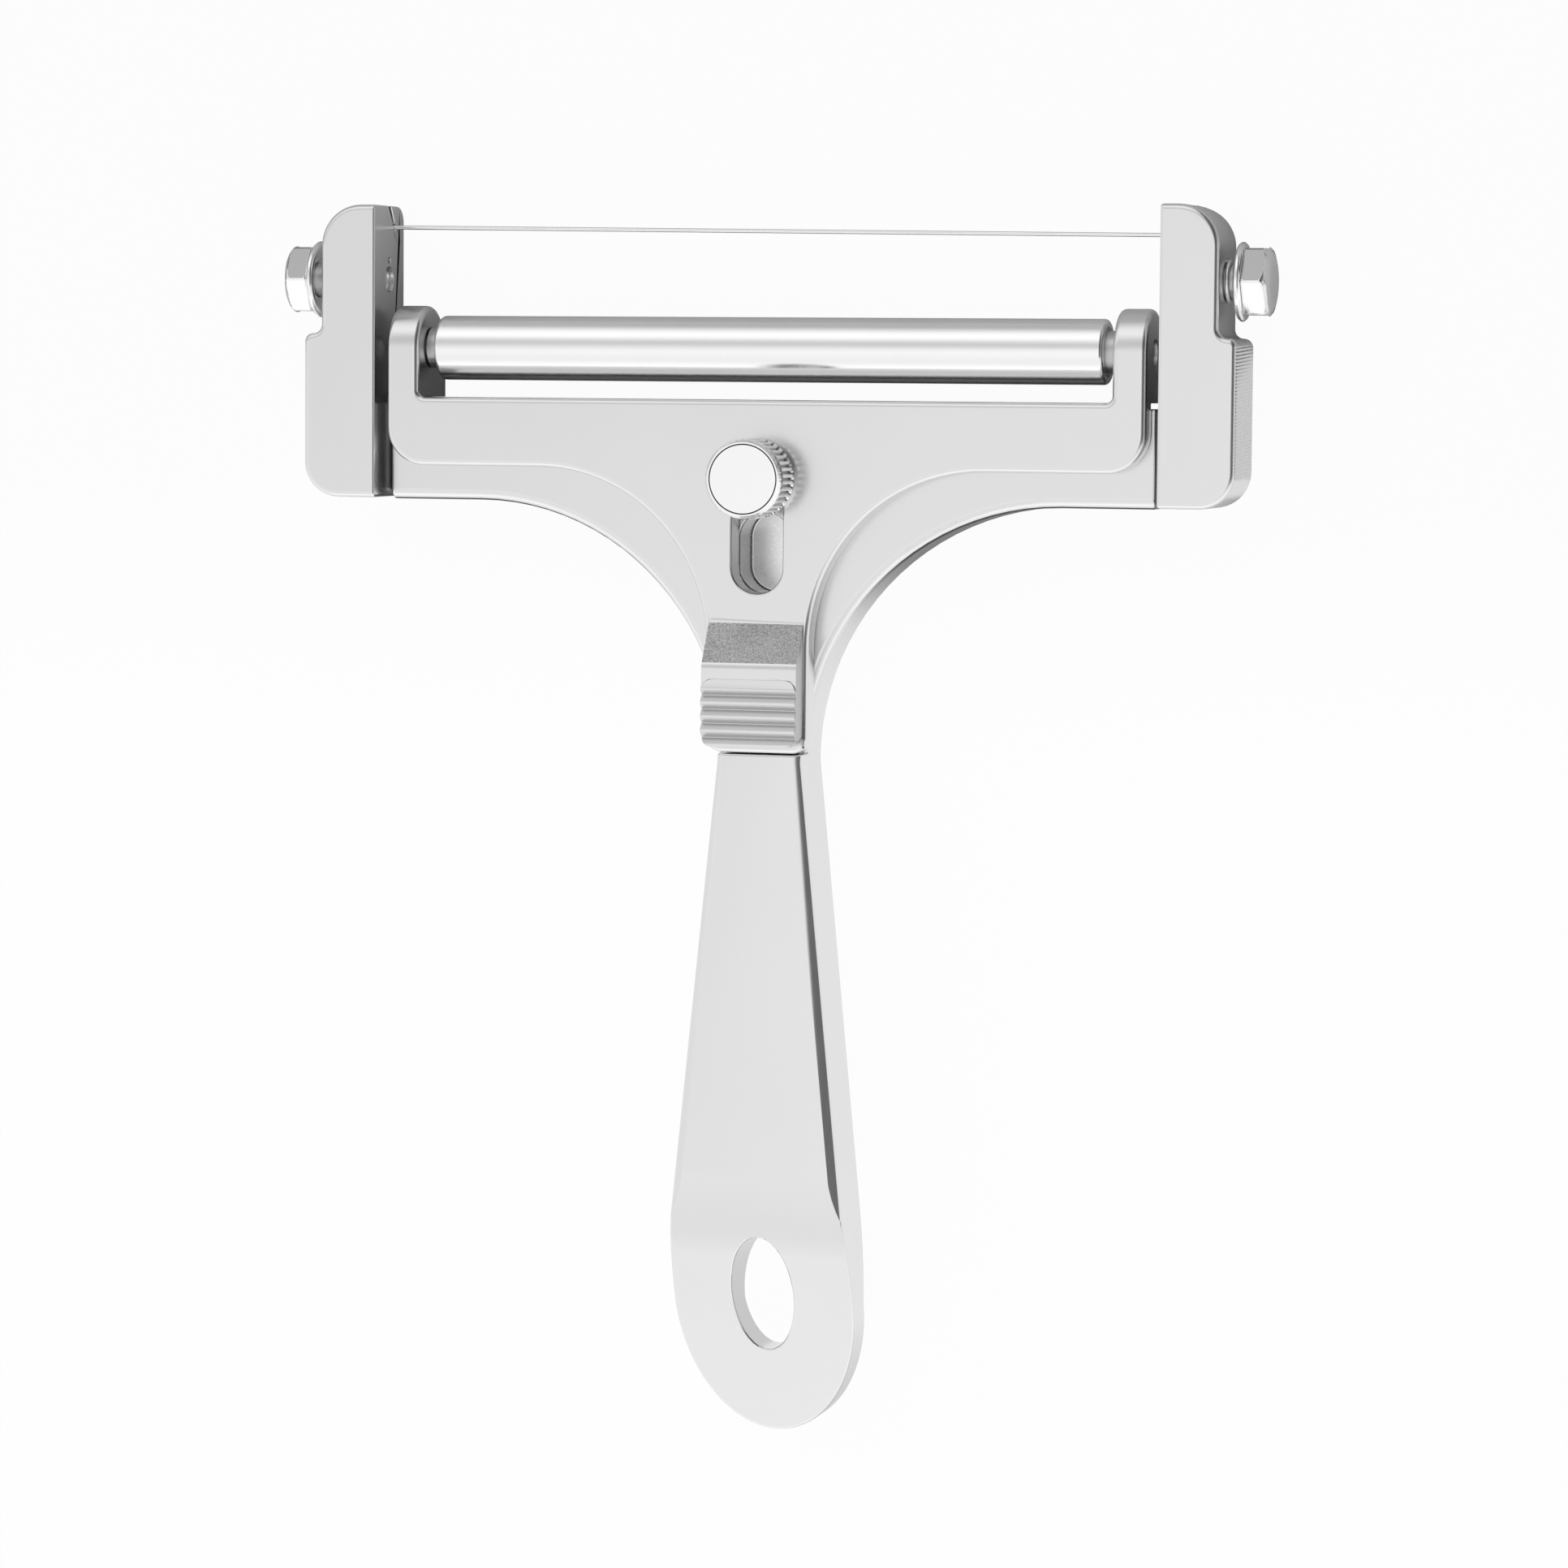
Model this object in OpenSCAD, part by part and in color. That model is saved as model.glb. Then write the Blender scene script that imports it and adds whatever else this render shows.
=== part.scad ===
// Wire cheese slicer with a roller that sets the slice thickness.
// X runs along the wire, Y from the handle to the wire, and Z up to the front.
// In the sizes below, _y is a height above the handle's tip, _drop is a distance below the top of the arms,
// and _z is a height above the flat back. The slicer is then tilted to rest on its arms and its tail.

/* [Frame] */
// Length from the handle's tip to the top of the arms
overall_len = 150; // [130:1:165]
// Depth of the arms from their back to their front face
arm_depth = 10.5; // [10:0.1:12]
// Gap between the inner faces of the two arms
arm_gap = 97.6; // [80:0.2:112]
// Width of an arm below its step
arm_base_w = 9.2; // [8.6:0.1:12]
// Width of an arm above its step
arm_top_w = 7; // [5.5:0.1:7.6]
// Length of the arms
arm_len = 35.6; // [34:0.1:37]
// Distance of the arms' step from their top
arm_step_drop = 15.6; // [14.5:0.1:19]
// Radius of the arms' outer top corner
arm_top_r = 5; // [2:0.1:6]
// Radius of the arms' outer lower corner
arm_foot_r = 4.3; // [2:0.1:6]
// Radius of both curves of the step
arm_step_r = 1.1; // [0.6:0.1:1.4]
// Radius of the arms' top corner at the back
arm_back_r = 2; // [0.5:0.1:3]

/* [Arch plate] */
// Height of the plate's front above the flat back
plate_t = 7; // [6.4:0.1:7.6]
// Distance of the plate's straight lower edge from the arms' top
plate_foot_drop = 35.8; // [34:0.1:38]
// Distance of the plate's upper edge from the arms' top
plate_top_drop = 24; // [23.7:0.1:27]
// Radius of the arch on each side of the neck
arch_r = 31; // [28:0.1:33]
// Width of the neck where the arch ends
neck_w = 10.6; // [10:0.1:12]
// Radius along the plate's lower front edge
arch_round = 1.3; // [0.5:0.1:2]
// Width of the groove between the plate and each arm
groove_w = 1; // [0.8:0.1:2]
// Thickness of the web behind that groove
web_t = 4; // [3:0.1:6]
// How far the web's lower edge stays above the plate's
web_lift = 1; // [0.4:0.1:2]

/* [Handle] */
// Height of the handle's front face above the flat back
handle_t = 9.4; // [8.4:0.1:10.4]
// Gap between the handle's raised front and the carriage's lower end
handle_gap = 0.2; // [0.1:0.1:1]
// Width of the handle where it is widest
handle_w = 22.7; // [18:0.1:28]
// Length of the rounded end, up to the widest place
handle_end_len = 17; // [14:0.5:20]
// Length over which the side turns from the round end to the taper
handle_side_len = 12; // [8:0.5:16]
// How far the side comes in over that length
handle_side_in = 0.65; // [0.3:0.05:1]
// Height at which the tail starts to bend back
tail_bend_y = 33.5; // [28:0.5:38]
// Radius of that bend along the front
tail_bend_r = 30; // [10:1:34]
// Slope of the straight part of the tail, in degrees
tail_slope = 20.8; // [10:0.2:25]
// Thickness of the tail
tail_t = 4.7; // [3.5:0.1:6]
// Width of the bevel along the handle's front edges
bevel_w = 1.15; // [0.6:0.05:1.6]
// Depth of the bevel along the handle's front edges
bevel_t = 0.6; // [0.3:0.05:1]
// Height of the centre of the hanging hole
hang_y = 18; // [16:0.1:22]
// Width of the hanging hole
hang_w = 7.7; // [6:0.1:9]
// Length of the hanging hole
hang_len = 14.6; // [11:0.1:17]

/* [Carriage] */
// Gap between each ear of the carriage and the arm beside it
ear_gap = 1.5; // [0.8:0.1:2]
// Width of an ear
ear_w = 4.1; // [3.4:0.1:5]
// Radius of the corner between an ear and the bar
ear_foot_r = 0.8; // [0.4:0.1:1.2]
// Radius of the ear's round top
ear_r = 5.1; // [4.8:0.05:5.2]
// Thickness of the carriage plate
carriage_t = 3.2; // [2.8:0.1:3.2]
// Running gap behind the carriage plate
carriage_gap = 0.15; // [0.1:0.05:0.2]
// Gap between the roller and the bar below it
bar_gap = 2.1; // [1.4:0.1:2.2]
// Height of the bar
bar_h = 8.3; // [7.4:0.1:9]
// Radius of the carriage's outer lower corners
bar_corner_r = 4.7; // [3:0.1:6]
// Radius of the carriage's curved sides
side_arc_r = 21.3; // [19:0.1:22.5]
// Width of the carriage's tail
tail_w = 12.8; // [12:0.1:14]
// Length of the carriage's tail, from the bar down
tail_len = 34; // [32:0.1:36]
// Corner radius of the carriage's lower end
tail_r = 2; // [0.5:0.1:2.5]
// Width of the slot for the clamp screw
slot_w = 6.4; // [6.3:0.1:6.8]
// Length of the slot below the clamp screw's axis
slot_len = 13.85; // [12.6:0.05:14.5]
// How far the carriage travels towards the wire
travel = 8.4; // [6:0.1:8.4]

/* [Thumb tab] */
// Width of the tab
tab_w = 11.8; // [10:0.1:12.4]
// How far the tab stands out of the carriage
tab_h = 3.2; // [2.4:0.1:4]
// Height of the ramp's upper end above the carriage's lower end
ramp_len = 15.8; // [14:0.1:17]
// Length of the ramp
ramp_run = 5.2; // [4:0.1:6]
// Height of the ribbed pad's upper end above the carriage's lower end
pad_len = 9; // [8.8:0.1:9.6]
// Height of the pad's lower end above the carriage's lower end
pad_foot = 0.9; // [0.6:0.1:1.1]
// How far the pad's ribs stand out of the tab
pad_lift = 0.4; // [0.2:0.05:0.6]
// Corner radius of the tab
tab_r = 1.4; // [0.5:0.1:2]
// Distance from one rib to the next
rib_pitch = 1.68; // [1.5:0.02:1.74]
// Number of ribs
rib_count = 5; // [3:1:5]
// Width of a rib's flat crest
rib_w = 0.2; // [0.1:0.05:0.5]
// Depth of the groove between two ribs
rib_t = 0.6; // [0.4:0.05:0.8]

/* [Roller] */
// Distance of the roller's axis from the arms' top
roller_drop = 17.3; // [16.6:0.1:17.6]
// Outer diameter of the roller
roller_d = 7.8; // [7:0.1:8.6]
// Wall of the roller tube
roller_wall = 1; // [0.6:0.1:1.4]
// Gap between each end of the roller and the ear beside it
roller_end_gap = 1.5; // [1.2:0.1:2]
// Diameter of the axle
axle_d = 3; // [2.4:0.1:3.4]
// Radial running clearance of the bushes on the axle
axle_clear = 0.05; // [0.03:0.01:0.09]
// Depth of a bush inside the tube
bush_len = 7; // [5:0.5:10]
// Diameter of the bush's shoulder outside the tube
shoulder_d = 5; // [4.6:0.1:5.6]
// Gap between the bush's shoulder and the ear
shoulder_gap = 0.2; // [0.1:0.05:0.4]

/* [Clamp screw] */
// Distance of the clamp screw's axis below the bar's upper edge
clamp_drop = 9.35; // [9:0.05:9.6]
// Diameter of the knob over its flutes
knob_d = 9.6; // [8.6:0.1:10]
// Height of the knob
knob_h = 5.7; // [4:0.1:7]
// Number of flutes round the knob
flute_count = 36; // [24:1:40]
// Radius of a flute
flute_r = 0.28; // [0.2:0.01:0.32]
// Width of the bevel round the knob's face
knob_bevel = 0.4; // [0.2:0.05:0.6]
// Diameter of the stud
stud_d = 4; // [3.6:0.1:4.2]
// Radial clearance of both screws in their threads, drawn without the thread's shape
thread_clear = 0.05; // [0.03:0.01:0.09]
// Diameter of the boss that guides the slot
boss_d = 6.1; // [5.6:0.05:6.2]
// How far the boss stays below the carriage's front
boss_sink = 0.35; // [0.2:0.05:0.6]
// Diameter of the washer under the knob
washer_d = 8.6; // [8:0.1:9]
// Thickness of that washer
washer_t = 0.5; // [0.3:0.05:0.6]
// Width of the nut across its flats
nut_w = 7; // [6.6:0.1:7.2]
// Thickness of the nut
nut_t = 3.2; // [2.4:0.1:3.6]
// How deep the nut sits in the back of the plate
nut_sink = 0.3; // [0.1:0.1:0.6]

/* [Wire tension] */
// Distance of the middle of the wire from the arms' top
wire_drop = 3.05; // [2.8:0.05:3.1]
// How much higher the wire is at the left arm, and lower at the right
wire_tilt = 0.5; // [0:0.05:0.5]
// Diameter of the wire
wire_d = 0.5; // [0.4:0.05:0.6]
// Height of the wire's centre above the flat back
wire_z = 3.3; // [2.6:0.1:3.6]
// Width of the saw cut that holds the wire
cut_w = 0.8; // [0.7:0.05:1]
// Depth of the saw cut, from the arm's inner face
cut_t = 4.4; // [4:0.1:5]
// How far forward the saw cut leans at the top of the arm
cut_lean = 1.7; // [0:0.1:2]
// Distance of the tension screws' axis from the arms' top
tension_drop = 9; // [8.6:0.1:9.4]
// Height of the tension screws' axis above the flat back
tension_z = 5.2; // [5:0.1:5.6]
// Diameter of a tension screw's shank
shank_d = 3; // [2.6:0.1:3.1]
// How far the shank's end stays inside the arm
shank_sink = 0.5; // [0.2:0.1:1.5]
// Outer diameter of the collar that the wire goes round
collar_d = 4.1; // [4:0.05:4.4]
// Length of that collar
collar_t = 1.4; // [1.2:0.1:2]
// Diameter of the flange washer
flange_d = 9.3; // [8:0.1:10]
// Thickness of the flange washer
flange_t = 0.9; // [0.6:0.1:1.2]
// Width of the hexagon across its flats
hex_w = 7.8; // [6.8:0.1:8.2]
// Height of the hexagon head
hex_h = 3.3; // [2.6:0.1:4]
// Width of the bevel on the corners of the head
hex_bevel = 0.9; // [0.4:0.1:1.2]

/* [Hidden] */
$fn = 96;

cast_colour = "silver";
steel_colour = "gainsboro";
bright_colour = "whitesmoke";

// How far a cutter runs past the face that it goes through
past = 1;

// Places along Y, worked out from the arms' top
arm_foot_y = overall_len - arm_len;
arm_step_y = overall_len - arm_step_drop;
plate_foot_y = overall_len - plate_foot_drop;
plate_top_y = overall_len - plate_top_drop;
roller_y = overall_len - roller_drop;
wire_y = overall_len - wire_drop;
tension_y = overall_len - tension_drop;
bar_top_y = roller_y - roller_d / 2 - bar_gap;
bar_foot_y = bar_top_y - bar_h;
tail_y = bar_foot_y - tail_len;
clamp_y = bar_top_y - clamp_drop;
slot_foot_y = clamp_y - slot_len;

arm_in = arm_gap / 2;
arm_out = arm_in + arm_base_w;
arm_out_top = arm_in + arm_top_w;
arch_x = neck_w / 2 + arch_r;
arch_y = plate_foot_y - arch_r;
handle_top_y = tail_y - handle_gap;

// The handle's side runs straight from the neck to where its long curve starts
taper_foot_x = handle_w / 2 - handle_side_in;
taper_foot_y = handle_end_len + handle_side_len;
taper_angle = atan((taper_foot_x - neck_w / 2) / (arch_y - taper_foot_y));
end_steps = 28;
side_steps = 6;

// The tail bends back along an arc of the front and then slopes straight to the tip
bend_foot_y = tail_bend_y - tail_bend_r * sin(tail_slope);
bend_foot_z = handle_t - tail_bend_r * (1 - cos(tail_slope));
tip_front_z = bend_foot_z - bend_foot_y * tan(tail_slope);
tip_back_z = tip_front_z - tail_t / cos(tail_slope);
back_bend_r = 15;
back_knee_y = -tip_back_z / tan(tail_slope);
back_reach = back_bend_r * tan(tail_slope / 2);

// Tilt at which the slicer rests on the tail's tip and on the arms' back corners
rest_line = [overall_len - arm_back_r, arm_back_r - tip_back_z];
rest_tilt = atan(rest_line[1] / rest_line[0]) - asin(arm_back_r / norm(rest_line));
rest_lift = -tip_back_z * cos(rest_tilt);
top_end = overall_len * cos(rest_tilt) + arm_depth * sin(rest_tilt);
tip_end = tip_back_z * sin(rest_tilt);

carriage_back = plate_t + carriage_gap;
carriage_front = carriage_back + carriage_t;
roller_z = carriage_front - ear_r;
ear_out = arm_in - ear_gap;
ear_in = ear_out - ear_w;
side_arc_x = tail_w / 2 + side_arc_r;
side_arc_y = bar_foot_y - side_arc_r;
roller_half = ear_in - roller_end_gap;
roller_bore_r = roller_d / 2 - roller_wall;

// The uppermost rib's crest, above the carriage's lower end
crest_y = pad_foot + 1.3 * rib_w + (rib_count - 1) * rib_pitch;

// The slot's upper end is round the boss, so the screw stops the carriage at its lowest place
slot_r = slot_w / 2;

// The window in the frame behind the slot
window_w = slot_w - 0.1;
window_floor = 1.9;
window_top_y = clamp_y - nut_w / 2 - 0.6;

// A key on the carriage's back runs in a groove of the frame and keeps the carriage straight
key_w = 5;
key_clear = 0.15;
key_t = 1.5;
key_foot_y = tail_y + 1.6;
key_len = 5.5;

washer_z = carriage_front + 0.05;
knob_z = washer_z + washer_t;
boss_top = carriage_front - boss_sink;
stud_foot_z = nut_sink + 0.5;
stud_top_z = knob_z + knob_h - 1.5;
nut_r = nut_w / 2 / cos(30);

// The wire goes through a slanting hole to the collar, round it and back through a small hole
wrap_r = collar_d / 2 + wire_d / 2 + 0.02;
wrap_x = arm_out_top + wire_d / 2 + 0.1;
wire_knee_x = arm_in + cut_t - cut_w / 2;
joint_gap = 0.04;
anchor_r = wire_d / 2 + 0.15;
hex_r = hex_w / 2 / cos(30);
flange_x = arm_out_top + collar_t;
hex_x = flange_x + flange_t;

function left_side(side) = side < 0 ? 1 : 0;
function end_wire_y(side) = wire_y - side * wire_tilt;

// Where the wire meets the circle round the collar, as an angle and as a point
function wire_start(side) =
    let (drop = end_wire_y(side) - tension_y, back = tension_z - wire_z)
    -atan(back / drop) - acos(wrap_r / norm([drop, back]));
function wire_turn_foot(side) =
    let (start = wire_start(side))
    [wrap_x, tension_y + wrap_r * cos(start), tension_z + wrap_r * sin(start)];

// Points of the handle's outline on one side, from the tip up to the taper
function round_end() = [for (i = [0 : end_steps])
    let (a = 90 * i / end_steps)
    [handle_w / 2 * sin(a), handle_end_len * (1 - cos(a))]];
function long_side() = [for (i = [1 : side_steps])
    let (t = i / side_steps)
    [handle_w / 2 - handle_side_in * t * t, handle_end_len + handle_side_len * t]];
function mirrored(points) = [for (i = [len(points) - 1 : -1 : 0]) [-points[i][0], points[i][1]]];

module placed() {
    translate([0, -(top_end + tip_end) / 2, rest_lift]) rotate([-rest_tilt, 0, 0]) children();
}

module both_sides() {
    children();
    mirror([1, 0, 0]) children();
}

// A piece made on the right, and mirrored for the left
module on_side(side) {
    mirror([left_side(side), 0, 0]) children();
}

module rounded_rect(w, h, r) {
    for (x = [r, w - r]) {
        for (y = [r, h - r]) translate([x, y]) circle(r);
    }
    translate([r, 0]) square([w - 2 * r, h]);
    translate([0, r]) square([w, h - 2 * r]);
}

module arm_outline() {
    foot_w = arm_base_w;
    step_w = arm_base_w - arm_top_w;
    difference() {
        union() {
            square([foot_w, arm_step_y - arm_foot_y]);
            square([arm_top_w, overall_len - arm_foot_y]);
        }
        // Outer lower corner
        difference() {
            translate([foot_w - arm_foot_r, -past]) square([arm_foot_r + past, arm_foot_r + past]);
            translate([foot_w - arm_foot_r, arm_foot_r]) circle(arm_foot_r);
        }
        // Outer top corner
        translate([arm_top_w - arm_top_r, overall_len - arm_foot_y - arm_top_r]) difference() {
            square(arm_top_r + past);
            circle(arm_top_r);
        }
        // The step's outer curve
        translate([foot_w - arm_step_r, arm_step_y - arm_foot_y - arm_step_r]) difference() {
            square(arm_step_r + past);
            circle(arm_step_r);
        }
    }
    // The step's inner curve
    translate([arm_top_w, arm_step_y - arm_foot_y]) difference() {
        square([step_w - arm_step_r, arm_step_r]);
        translate([arm_step_r, arm_step_r]) circle(arm_step_r);
    }
}

module arm() {
    difference() {
        translate([arm_in, arm_foot_y, 0]) linear_extrude(arm_depth) arm_outline();
        // Top corner at the back
        translate([arm_in - past, overall_len - arm_back_r, arm_back_r]) rotate([0, 90, 0]) {
            difference() {
                cube([arm_back_r + past, arm_back_r + past, arm_base_w + 2 * past]);
                translate([0, 0, -past]) cylinder(r = arm_back_r, h = arm_base_w + 4 * past);
            }
        }
        // Tension screw's hole and the hole for the wire's end
        translate([arm_in - past, tension_y, tension_z]) rotate([0, 90, 0]) {
            cylinder(r = shank_d / 2 + thread_clear, h = arm_base_w + 2 * past);
        }
        translate([arm_in - past, tension_y + wrap_r, tension_z]) rotate([0, 90, 0]) {
            cylinder(r = anchor_r, h = arm_base_w + 2 * past);
        }
    }
}

// Saw cut from the top of the arm down to the wire, and the slanting hole from its end to the collar
module wire_cut(side) {
    y = end_wire_y(side);
    rise = overall_len - y;
    lean = atan(cut_lean / rise);
    knee = [wire_knee_x, y, wire_z];
    run = wire_turn_foot(side) - knee;
    on_side(side) {
        translate([arm_in - past, y, wire_z]) {
            rotate([0, 90, 0]) cylinder(r = cut_w / 2, h = cut_t + past);
            rotate([lean, 0, 0]) translate([0, 0, -cut_w / 2]) cube([cut_t + past, rise * 1.5, cut_w]);
        }
        translate(knee) rotate([0, acos(run[2] / norm(run)), atan2(run[1], run[0])]) {
            cylinder(r = cut_w / 2, h = norm(run) + past);
        }
    }
}

module plate_outline() {
    difference() {
        translate([-arm_in, arch_y]) square([2 * arm_in, plate_top_y - arch_y]);
        both_sides() {
            translate([arch_x, arch_y]) circle(arch_r);
            translate([arch_x, arch_y - past]) square([arm_in, arch_r + past]);
            translate([arch_x, arch_y - arch_r]) square([arm_in, arch_r]);
        }
    }
}

// What the rounding along the plate's lower edge takes off
module edge_waste() {
    difference() {
        square(arch_round + past);
        circle(arch_round);
    }
}

// Groove between the plate and the arm, with the web behind it
module plate_groove() {
    translate([arm_in - groove_w, arch_y, web_t]) cube([groove_w, overall_len, plate_t]);
    translate([arm_in - groove_w, plate_foot_y - past, -past]) {
        cube([groove_w, past + web_lift, plate_t + 2 * past]);
    }
}

module plate_rounding() {
    translate([arch_x, arch_y, plate_t - arch_round]) rotate_extrude() {
        translate([arch_r + arch_round, 0]) mirror([1, 0]) edge_waste();
    }
    translate([arch_x, plate_foot_y + arch_round, plate_t - arch_round]) rotate([90, 0, 90]) {
        linear_extrude(arm_in - arch_x) mirror([1, 0]) edge_waste();
    }
}

module plate() {
    difference() {
        linear_extrude(plate_t) plate_outline();
        both_sides() plate_rounding();
        both_sides() plate_groove();
        // Window behind the carriage's slot
        translate([0, 0, window_floor]) linear_extrude(plate_t) {
            translate([0, slot_foot_y + window_w / 2]) circle(d = window_w);
            translate([0, window_top_y - window_w / 2]) circle(d = window_w);
            translate([-window_w / 2, slot_foot_y + window_w / 2]) {
                square([window_w, window_top_y - slot_foot_y - window_w]);
            }
        }
        // Groove for the carriage's key
        translate([-key_w / 2 - key_clear, key_foot_y - key_clear, carriage_back - key_t - key_clear]) {
            cube([key_w + 2 * key_clear, key_len + travel + 2 * key_clear, plate_t]);
        }
        // Nut's pocket
        translate([0, clamp_y, -past]) cylinder(r = nut_r, h = nut_t + nut_sink + past, $fn = 6);
        translate([0, clamp_y, -past]) cylinder(r = stud_d / 2 + thread_clear, h = plate_t + 2 * past);
    }
    translate([0, clamp_y, plate_t]) difference() {
        cylinder(d = boss_d, h = boss_top - plate_t);
        translate([0, 0, -past]) cylinder(r = stud_d / 2 + thread_clear, h = plate_t);
    }
}

module handle_outline() {
    side = concat(round_end(), long_side(), [[neck_w / 2, arch_y], [neck_w / 2, handle_top_y]]);
    polygon(concat(side, mirrored(side)));
}

// The handle's side view: flat behind, with the tail bent back
module handle_profile() {
    bend_line = [-sin(tail_slope), cos(tail_slope)];
    translate([tail_bend_y, 0]) square([handle_top_y - tail_bend_y, handle_t]);
    difference() {
        union() {
            polygon([[0, tip_back_z], [0, tip_front_z], [bend_foot_y, bend_foot_z],
                     [bend_foot_y, 0], [tail_bend_y, 0], [back_knee_y, 0]]);
            intersection() {
                translate([tail_bend_y, handle_t - tail_bend_r]) circle(tail_bend_r);
                translate([bend_foot_y, 0]) square([tail_bend_y - bend_foot_y, handle_t]);
            }
            translate([bend_foot_y, 0]) square([tail_bend_y - bend_foot_y, handle_t - tail_bend_r / 4]);
        }
        // The bend at the back
        difference() {
            polygon([[back_knee_y, 0.001], [back_knee_y + back_reach, 0.001],
                     [back_knee_y + back_reach, -past], [back_knee_y - back_reach * cos(tail_slope), -past - 4],
                     [back_knee_y - back_reach * cos(tail_slope), -back_reach * sin(tail_slope)]]);
            translate([back_knee_y + back_reach, -back_bend_r]) circle(back_bend_r);
        }
    }
}

// A block along the handle's side, tilted so that its lower face cuts the bevel
module handle_bevel() {
    block_w = 8 * bevel_w;
    tilt = atan(bevel_t / bevel_w);
    translate([taper_foot_x, taper_foot_y, handle_t - bevel_t]) rotate([0, 0, taper_angle]) {
        rotate([0, tilt, 0]) translate([-block_w / 2, -taper_foot_y, 0]) {
            cube([block_w, overall_len, block_w]);
        }
    }
}

module hang_hole() {
    steps = 40;
    points = [for (i = [0 : steps - 1])
        let (a = 360 * i / steps)
        [hang_w / 2 * cos(a), hang_y + hang_len / 2 * sin(a)]];
    translate([0, 0, tip_back_z]) linear_extrude(handle_t - tip_back_z + past) polygon(points);
}

module handle() {
    difference() {
        intersection() {
            translate([0, 0, tip_back_z]) linear_extrude(handle_t - tip_back_z) handle_outline();
            translate([-handle_w, 0, 0]) rotate([90, 0, 90]) {
                linear_extrude(2 * handle_w) handle_profile();
            }
        }
        both_sides() handle_bevel();
        hang_hole();
    }
}

module frame_casting() {
    color(cast_colour) placed() {
        difference() {
            union() {
                plate();
                handle();
                both_sides() arm();
            }
            wire_cut(1);
            wire_cut(-1);
        }
    }
}

module carriage_outline() {
    difference() {
        union() {
            translate([-ear_out, bar_foot_y]) {
                rounded_rect(2 * ear_out, roller_y + ear_r - bar_foot_y, bar_corner_r);
            }
            translate([-ear_out, roller_y - bar_corner_r]) square([2 * ear_out, ear_r + bar_corner_r]);
            translate([-side_arc_x, side_arc_y]) square([2 * side_arc_x, bar_foot_y - side_arc_y]);
            translate([-tail_w / 2, tail_y]) rounded_rect(tail_w, bar_foot_y - tail_y, tail_r);
        }
        both_sides() translate([side_arc_x, side_arc_y]) circle(side_arc_r);
        translate([-ear_in, bar_top_y]) rounded_rect(2 * ear_in, roller_y + ear_r, ear_foot_r);
        translate([-ear_out - past, roller_y]) square([2 * (ear_out + past), ear_r + past]);
        // Slot
        translate([0, clamp_y]) circle(slot_r);
        translate([0, slot_foot_y + slot_r]) circle(slot_r);
        translate([-slot_r, slot_foot_y + slot_r]) square([slot_w, clamp_y - slot_foot_y - slot_r]);
    }
}

// One ear, round about the roller's axis, with the axle's hole through it
module ear() {
    difference() {
        translate([ear_in, 0, 0]) union() {
            translate([0, roller_y, roller_z]) rotate([0, 90, 0]) cylinder(r = ear_r, h = ear_w);
            translate([0, bar_top_y, roller_z - ear_r]) {
                cube([ear_w, roller_y - bar_top_y, 2 * ear_r]);
            }
        }
        translate([ear_in - past, roller_y, roller_z]) rotate([0, 90, 0]) {
            cylinder(d = axle_d, h = ear_w + 2 * past);
        }
    }
}

// The tab's side view, with Y from the carriage's lower end
module tab_profile() {
    polygon([[0, -past], [0, tab_h], [ramp_len - ramp_run, tab_h], [ramp_len, 0], [ramp_len, -past]]);
}

// The pad's side view: a slope at its upper end, and its lower end upright
module pad_profile() {
    top = tab_h + pad_lift;
    polygon([[pad_foot, 0], [pad_foot, top], [crest_y + rib_w / 2, top], [pad_len, tab_h], [pad_len, 0]]);
}

// Groove between two ribs, with equal slopes
module rib_groove(y) {
    half = (rib_pitch - rib_w) / 2;
    polygon([[y, tab_h + pad_lift - rib_t], [y + half, tab_h + pad_lift], [y + half, tab_h + past],
             [y - half, tab_h + past], [y - half, tab_h + pad_lift]]);
}

// Draws a side view across the whole width of the tab
module across_tab() {
    translate([-tab_w / 2, 0, 0]) rotate([90, 0, 90]) linear_extrude(tab_w) children();
}

module thumb_tab() {
    translate([0, tail_y, carriage_front]) difference() {
        union() {
            intersection() {
                across_tab() tab_profile();
                translate([-tab_w / 2, pad_foot, -past]) linear_extrude(tab_h + 2 * past) {
                    rounded_rect(tab_w, ramp_len + tab_r, tab_r);
                }
            }
            intersection() {
                across_tab() pad_profile();
                translate([-tab_w / 2, pad_foot, 0]) linear_extrude(tab_h + past) {
                    rounded_rect(tab_w, pad_len - pad_foot, tab_r);
                }
            }
        }
        for (i = [1 : rib_count - 1]) {
            across_tab() rib_groove(crest_y - (i - 0.5) * rib_pitch);
        }
    }
}

module carriage_casting() {
    color(cast_colour) placed() {
        translate([0, 0, carriage_back]) linear_extrude(carriage_t) carriage_outline();
        both_sides() ear();
        thumb_tab();
        translate([-key_w / 2, key_foot_y, carriage_back - key_t]) cube([key_w, key_len, key_t + past]);
    }
}

module along_axle() {
    translate([0, roller_y, roller_z]) rotate([0, 90, 0]) children();
}

module roller_tube() {
    edge = 0.3;
    color(bright_colour) placed() along_axle() rotate_extrude() {
        polygon([[roller_bore_r, -roller_half], [roller_d / 2 - edge, -roller_half],
                 [roller_d / 2, -roller_half + edge], [roller_d / 2, roller_half - edge],
                 [roller_d / 2 - edge, roller_half], [roller_bore_r, roller_half]]);
    }
}

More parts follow.
